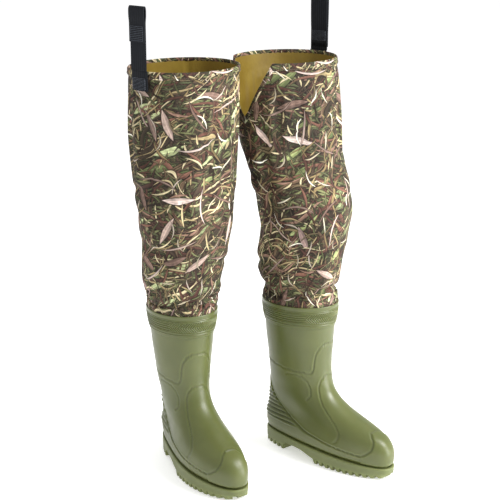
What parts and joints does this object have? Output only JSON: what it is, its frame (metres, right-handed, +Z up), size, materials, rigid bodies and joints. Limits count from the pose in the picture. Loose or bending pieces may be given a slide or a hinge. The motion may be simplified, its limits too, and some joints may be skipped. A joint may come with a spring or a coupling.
{
  "type": "hip waders",
  "caption": "Pair of hip waders: moulded boots with cleated soles, printed fabric legs that fold down, and webbing belt loops that swing.",
  "frame": {"origin": "on the floor, under the middle of the pair", "axes": "+Z up, toes towards -Y, right leg on the -X side"},
  "size_m": [0.4534, 0.3945, 0.884],
  "materials": {
    "moulded_boot": "satin moulded PVC",
    "moulded_sole": "matt moulded PVC",
    "footbed": "felted fabric over foam",
    "steel": "plain sheet steel",
    "printed_fabric": "matt printed nylon with a tan coated inside",
    "webbing": "woven black webbing"
  },
  "bodies": {
    "right_boot": {"right_foot_shell": "moulded_boot", "right_shaft_shell": "moulded_boot", "right_outsole": "moulded_sole", "right_insole": "footbed", "right_shank": "steel", "right_cuff_band": "moulded_boot", "right_toe_cap": "moulded_boot", "right_heel_guard": "moulded_boot", "right_welt": "moulded_sole", "right_leg": "printed_fabric"},
    "right_rim": {"right_rim_hem": "printed_fabric", "right_strap_anchor": "webbing"},
    "right_strap": {"right_strap_loop": "webbing"},
    "left_boot": {"left_foot_shell": "moulded_boot", "left_shaft_shell": "moulded_boot", "left_outsole": "moulded_sole", "left_insole": "footbed", "left_shank": "steel", "left_cuff_band": "moulded_boot", "left_toe_cap": "moulded_boot", "left_heel_guard": "moulded_boot", "left_welt": "moulded_sole", "left_leg": "printed_fabric"},
    "left_rim": {"left_rim_hem": "printed_fabric", "left_strap_anchor": "webbing"},
    "left_strap": {"left_strap_loop": "webbing"}
  },
  "joints": [
    {"name": "right_leg_drop", "type": "slide", "parent": "right_boot", "child": "right_rim", "axis": [0, 0, -1], "range_m": [0, 0.3], "deforming": ["right_leg"]},
    {"name": "right_strap_swing", "type": "hinge", "parent": "right_rim", "child": "right_strap", "pos_m": [-0.21537, 0.0632, 0.773], "axis": [0.2079, -0.9781, 0], "range_deg": [0, 165]},
    {"name": "left_leg_drop", "type": "slide", "parent": "left_boot", "child": "left_rim", "axis": [0, 0, -1], "range_m": [0, 0.3], "deforming": ["left_leg"]},
    {"name": "left_strap_swing", "type": "hinge", "parent": "left_rim", "child": "left_strap", "pos_m": [0.21436, 0.10299, 0.773], "axis": [-0.2672, 0.9636, 0], "range_deg": [0, 165]},
    {"name": "stance", "type": "slide", "parent": "right_boot", "child": "left_boot", "axis": [1, 0, 0], "range_m": [0, 0.15]}
  ]
}
